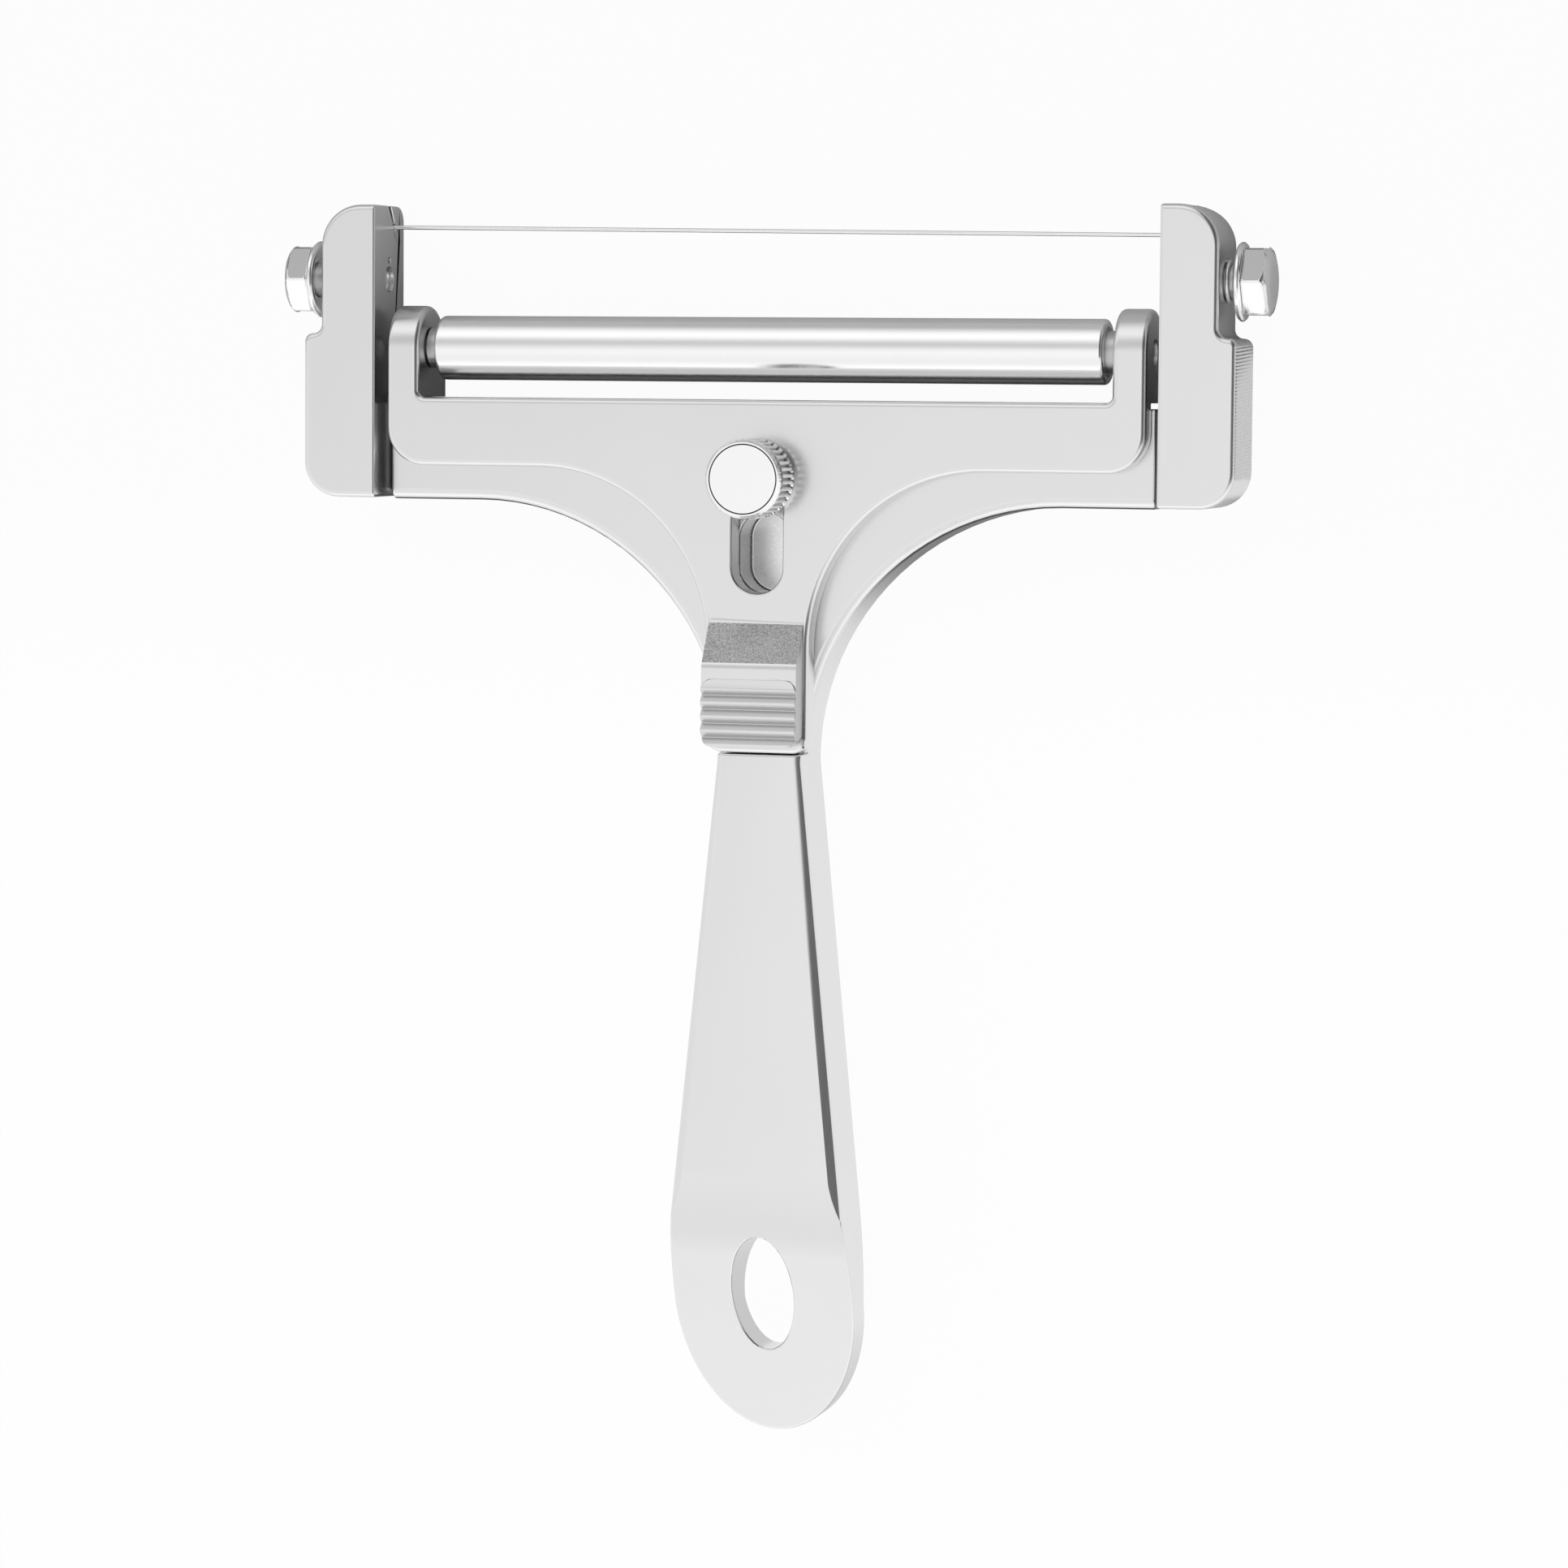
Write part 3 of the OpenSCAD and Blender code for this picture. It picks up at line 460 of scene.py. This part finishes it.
rampFace = {"slope": 31.6, "within": 4, "place": {"y": (95, 100)}}
ribShade = {"towardTail": 0.3, "towardWire": 0.2, "side": 0.45, "padEnd": 93.7,
            "place": {"x": (-far, 6), "y": (85, 100), "z": (10.3, far)}}


def slideWidth(first, second, turned):
    def inside(name):
        return within(first, slidePlaces[name]) and within(second, slidePlaces[name])

    inTab = inside("tab")
    if inTab and turned > slideEdges["tabTurned"] and abs(first.y - second.y) < 0.05 and inside("tabRamp"):
        return slideEdges["ramp"]
    if inTab and inside("tabPad"):
        return slideEdges["pad"] if turned > slideEdges["tabTurned"] else 0
    if turned < slideEdges["turned"]:
        return 0
    if inTab:
        return slideEdges["tab"] if inside("tabFront") else 0
    if inside("slot"):
        return slideEdges["slot"]
    reach = [math.hypot(point.y - ear["y"], point.z - ear["z"]) for point in (first, second)]
    if max(reach) < ear["hole"]:
        return slideEdges["hole"]
    if inside("innerCorner"):
        return 0
    if inside("front") or min(reach) > ear["outline"] and inside("ears"):
        return slideEdges["front"]
    return slideEdges["plain"]


def slideShade(point, normal):
    # Painted shade: the flanks of the ribs, the tab's side walls and the slot's wall that faces right are
    # painted darker than the crests
    if onSlotWall(point, normal):
        return slot["shade"]
    if not within(point, ribShade["place"]):
        return 0
    if abs(normal.x) > 0.8:
        return ribShade["side"]
    if point.y > ribShade["padEnd"] or abs(normal.y) < 0.45:
        return 0
    return ribShade["towardWire" if normal.y > 0 else "towardTail"]


def isRamp(face):
    centre, normal = faceAt(face)
    slope = math.radians(rampFace["slope"])
    turned = normal.angle(Vector((0, math.sin(slope), math.cos(slope))))
    return turned < math.radians(rampFace["within"]) and within(centre, rampFace["place"])


castSlide = softenNode("carriage_casting", "castSlide", slideWidth)
paintFaces(castSlide, "wallShade", slideShade)
castSlide.data.materials.append(satinCast)
castSlide.data.materials.append(blastedCast)
giveFaces(castSlide, 1, isRamp)
finishPiece(castSlide, satinCast, "carriage", ["carriage_casting"], angle=24)
print("carriage casting softened")

# Roller tube: polished, with rounded ends
rollerEdges = {"turned": 30, "end": 0.22}


def rollerWidth(first, second, turned):
    return rollerEdges["end"] if turned > rollerEdges["turned"] else 0


rollerSleeve = softenNode("roller_tube", "rollerSleeve", rollerWidth)
finishPiece(rollerSleeve, polishedSteel, "roller", ["roller_tube"], angle=30)
print("roller softened")

# Clamp knob: a white face with a fine turned line round it, a soft shoulder and rounded flutes below.
# Each band says what share of a dent the rings at its heights take.
knob = {"y": 117.35, "foot": 10.9, "radius": 4.8, "flutes": 36, "perFlute": 6, "top": 16.6,
        "rings": [11.25, 11.5, 11.8, 15.4, 15.7, 15.9, 16.2], "dents": [0.34, 0.24, 0.06, 0, 0.06, 0.24],
        "bands": [(1, (11.8, 15.4)), (0.8, (11.5, 15.7)), (0.25, (15.9,))],
        "shoulder": 0.42, "underShoulder": 0.1, "footInset": 0.35,
        "rim": 0.17, "line": 0.08, "lineDepth": 0.16, "paintedShade": {"line": 1, "flutes": 0.8}}
knobMiddle = (0, knob["y"] * mm, 0)
bpy.ops.mesh.primitive_circle_add(vertices=knob["flutes"] * knob["perFlute"], radius=knob["radius"] * mm,
                                  fill_type="NGON", location=(0, 0, 0))
grip = bpy.context.object
grip.name = "knurledGrip"
grip.data.transform(Matrix.Translation((0, knob["y"] * mm, knob["foot"] * mm)))
takeUp(grip)
bpy.ops.object.mode_set(mode="EDIT")
bpy.ops.mesh.select_all(action="SELECT")
level = knob["foot"]
for ring in knob["rings"] + [knob["top"]]:
    bpy.ops.mesh.extrude_region_move(TRANSFORM_OT_translate={"value": (0, 0, (ring - level) * mm)})
    level = ring


def drawIn(depth, heights, corner=None):
    # Draws the knob's rings at the given heights in by a depth in mm, all round or at one corner of each flute
    def chosen(vert):
        if not any(abs(vert.co.z / mm - height) < 0.02 for height in heights):
            return False
        angle = math.atan2(vert.co.y - knobMiddle[1], vert.co.x)
        number = round(angle / (2 * math.pi) * knob["flutes"] * knob["perFlute"])
        return corner is None or number % knob["perFlute"] == corner

    factor = 1 - depth / knob["radius"]
    selectParts(grip, "verts", chosen)
    bpy.ops.transform.resize(value=(factor, factor, 1), center_override=knobMiddle)


drawIn(knob["shoulder"], (knob["top"],))
drawIn(knob["underShoulder"], (knob["rings"][-1],))
drawIn(knob["footInset"], (knob["foot"],))
for corner, dent in enumerate(knob["dents"]):
    if dent:
        for share, heights in knob["bands"]:
            drawIn(share * dent, heights, corner)
selectParts(grip, "faces", lambda face: face.normal.z > 0.99 and face.calc_area() > (5 * mm) ** 2)
bpy.ops.mesh.inset(thickness=knob["rim"] * mm, depth=0)
for depth in (-knob["lineDepth"], knob["lineDepth"]):
    bpy.ops.mesh.inset(thickness=knob["line"] * mm, depth=depth * mm)
bpy.ops.mesh.select_all(action="SELECT")
bpy.ops.mesh.normals_make_consistent(inside=False)
bpy.ops.object.mode_set(mode="OBJECT")
grip.data.transform(restMatrix)


def turnedShade(point, normal):
    # Painted shade: the turned line round the face and the flutes' dents are painted darker than the face and
    # the ridges
    reach = math.hypot(point.x, point.y - knob["y"])
    atFace = point.z > knob["top"] - 0.25 and reach < knob["radius"] - knob["shoulder"] - 0.1
    if atFace and 0.05 < normal.z < 0.9:
        return knob["paintedShade"]["line"]
    return knob["paintedShade"]["flutes"] if abs(normal.z) < steep and reach < knob["radius"] - 0.15 else 0


paintFaces(grip, "turnedShade", turnedShade)
finishPiece(grip, knurledSteel, "clamp_screw", ["clamp_knob"], angle=32)
print("knob made")

# Flange washers and hexagon screws: plated, with soft edges. The facets that face the wire get a painted shade,
# a darker grey.
screwEdges = {"flangeTurned": 30, "flange": 0.28, "turned": 24, "head": 0.3, "end": 0.9,
              "headFrom": 58.15, "endFrom": 61.3}


def flangeWidth(first, second, turned):
    return screwEdges["flange"] if turned > screwEdges["flangeTurned"] else 0


def screwWidth(first, second, turned):
    if turned < screwEdges["turned"]:
        return 0
    return screwEdges["end" if min(abs(first.x), abs(second.x)) > screwEdges["endFrom"] else "head"]


def facetShade(point, normal):
    facesWire = normal.y > 0.35 and abs(normal.x) < 0.3 and normal.z > -0.2
    return 1 if facesWire and abs(point.x) > screwEdges["headFrom"] else 0


for side in ("left", "right"):
    flange = softenNode("tension_washer_" + side, side + "Flange", flangeWidth)
    finishPiece(flange, platedSteel, "tension_pad_" + side, ["tension_washer_" + side])
    head = softenNode("tension_screw_" + side, side + "Screw", screwWidth)
    paintFaces(head, "facetShade", facetShade)
    finishPiece(head, platedSteel, "tension_turn_" + side, ["tension_screw_" + side])
print("screws softened")

# The CAD nodes that keep their own shape
finishes = {"clamp_washer": platedSteel, "cutting_wire": wireSteel}
for name in ("roller_bush_left", "roller_bush_right", "roller_axle", "clamp_stud", "clamp_nut",
             "wire_collar_left", "wire_collar_right"):
    finishes[name] = plainSteel
for name, finish in finishes.items():
    nodes[name].data.materials.clear()
    nodes[name].data.materials.append(finish)
print("CAD nodes finished:", len(finishes))

# Floor: white to the camera, with the slicer's own faint shadow. Reflections show pale paper with painted
# shade, darker towards the wire, and a painted reflection that glows on the tail's side of the slicer's middle,
# and outside the arms up to just short of the wire.
# Places are in metres in the rest pose, each with its start, its end and the values there.
floorLook = {"size": 6, "below": 0.2 * mm, "white": 0.96, "paper": (0.005, 0.045, 0.95, 0.62),
             "tailGlow": (0.012, 0.045, 0.88, 0), "armGlow": (0.0562, 0.0576, 0, 0.75),
             "armGlowEnd": (0.056, 0.06, 1, 0)}
bpy.ops.mesh.primitive_plane_add(size=floorLook["size"], location=(0, 0, -floorLook["below"]))
floor = bpy.context.object
floor.name = "floor"
floorPaper = bpy.data.materials.new("floorPaper")
floorPaper.use_nodes = True
tree = floorPaper.node_tree
tree.nodes.clear()
output = addNode(tree, "ShaderNodeOutputMaterial")
rays = addNode(tree, "ShaderNodeLightPath")
white = addNode(tree, "ShaderNodeEmission")
paper = addNode(tree, "ShaderNodeBsdfDiffuse")
floorPoint = addNode(tree, "ShaderNodeTexCoord")
where = addNode(tree, "ShaderNodeSeparateXYZ")
tree.links.new(floorPoint.outputs["Object"], where.inputs[0])
paperTone = mapValue(tree, where.outputs["Y"], *floorLook["paper"], way="SMOOTHSTEP")
tree.links.new(paperTone, paper.inputs["Color"])
beside = calculate(tree, "ABSOLUTE", where.outputs["X"])
armGlow = mapValue(tree, beside, *floorLook["armGlow"], way="SMOOTHSTEP")
armGlowEnd = mapValue(tree, where.outputs["Y"], *floorLook["armGlowEnd"], way="SMOOTHSTEP")
tailGlow = mapValue(tree, where.outputs["Y"], *floorLook["tailGlow"], way="SMOOTHSTEP")
glow = calculate(tree, "MAXIMUM", tailGlow, calculate(tree, "MULTIPLY", armGlow, armGlowEnd))
toCamera = calculate(tree, "MULTIPLY", rays.outputs["Is Camera Ray"], floorLook["white"])
toMetal = calculate(tree, "MULTIPLY", rays.outputs["Is Glossy Ray"], glow)
mix = addNode(tree, "ShaderNodeMixShader")
tree.links.new(calculate(tree, "MAXIMUM", toCamera, toMetal), mix.inputs[0])
tree.links.new(paper.outputs[0], mix.inputs[1])
tree.links.new(white.outputs[0], mix.inputs[2])
tree.links.new(mix.outputs[0], output.inputs[0])
floor.data.materials.append(floorPaper)
print("floor laid")

# Studio: a white tent. Its tone changes with the angle from overhead, towards the wire at the positive end,
# and a dark card stands on the right between two pale strips, except towards the tail.
tent = {"turn": [(-95, 0.95), (-88, 1.12), (-79, 1.2), (-71, 1.2), (-62, 1.16), (-50, 1.02), (-40, 0.92),
                 (-24, 0.95), (0, 1.03), (8, 0.96), (17, 0.7), (25, 0.6), (34, 0.74), (41, 0.92), (50, 1.02),
                 (68, 1.02), (79, 0.76), (90, 0.52)],
        "across": [(-1, 0.95), (-0.5, 1.0), (0.2, 1.0), (0.3, 0.7), (0.4, 0.14), (0.92, 0.12), (0.965, 0.9),
                   (1, 1.05)],
        "cardEdge": (-0.36, -0.2), "open": 1.0,
        "spot": {"at": (-0.43, 0.1, 0.9), "size": 0.28, "tone": 0.8}}
world = bpy.data.worlds.new("studioTent")
bpy.context.scene.world = world
world.use_nodes = True
tree = world.node_tree
ground = tree.nodes["Background"]
direction = addNode(tree, "ShaderNodeTexCoord")
parts = addNode(tree, "ShaderNodeSeparateXYZ")
tree.links.new(direction.outputs["Generated"], parts.inputs[0])


def toneRamp(source, low, high, stops):
    # A grey that follows the source from low to high through the given stops
    tone = addNode(tree, "ShaderNodeValToRGB")
    tree.links.new(mapValue(tree, source, low, high), tone.inputs["Fac"])
    elements = tone.color_ramp.elements
    for number, (place, value) in enumerate(stops):
        position = (place - low) / (high - low)
        if number in (0, len(stops) - 1):
            element = elements[0 if number == 0 else -1]
            element.position = position
        else:
            element = elements.new(position)
        element.color = (value, value, value, 1)
    return tone.outputs["Color"]


fromOverhead = calculate(tree, "DEGREES", calculate(tree, "ARCTAN2", parts.outputs["Y"], parts.outputs["Z"]))
overhead = toneRamp(fromOverhead, -100, 100, tent["turn"])
sideways = toneRamp(parts.outputs["X"], -1, 1, tent["across"])
carded = addNode(tree, "ShaderNodeMix", data_type="RGBA")
carded.inputs["A"].default_value = (tent["open"], tent["open"], tent["open"], 1)
cardReach = mapValue(tree, parts.outputs["Y"], *tent["cardEdge"], way="SMOOTHSTEP")
tree.links.new(cardReach, carded.inputs["Factor"])
tree.links.new(sideways, carded.inputs["B"])
mixed = addNode(tree, "ShaderNodeMix", data_type="RGBA", blend_type="MULTIPLY")
mixed.inputs["Factor"].default_value = 1
tree.links.new(overhead, mixed.inputs["A"])
tree.links.new(carded.outputs["Result"], mixed.inputs["B"])
tree.links.new(mixed.outputs["Result"], ground.inputs["Color"])
spotReach = addNode(tree, "ShaderNodeVectorMath", operation="DISTANCE")
spotReach.inputs[1].default_value = tent["spot"]["at"]
tree.links.new(direction.outputs["Generated"], spotReach.inputs[0])
spotTone = mapValue(tree, spotReach.outputs["Value"], 0, tent["spot"]["size"], tent["spot"]["tone"], 1,
                    way="SMOOTHSTEP")
tree.links.new(spotTone, ground.inputs["Strength"])

# Two weak lamps, aimed at the middle
lamps = {"keyLight": {"place": (-0.3, -1.3, 0.42), "size": (0.9, 0.3), "power": 0.08},
         "farLight": {"place": (-0.2, 1.0, 0.7), "size": (0.9, 0.4), "power": 0.08}}
for name, look in lamps.items():
    lamp = bpy.data.lights.new(name, "AREA")
    lamp.shape = "RECTANGLE"
    lamp.size, lamp.size_y = look["size"]
    lamp.energy = look["power"]
    lampObject = bpy.data.objects.new(name, lamp)
    bpy.context.collection.objects.link(lampObject)
    lampTurn = (-Vector(look["place"])).to_track_quat("-Z", "Y").to_matrix().to_4x4()
    lampObject.matrix_world = Matrix.Translation(look["place"]) @ lampTurn
print("studio lit")

bpy.context.scene.view_settings.view_transform = "Standard"
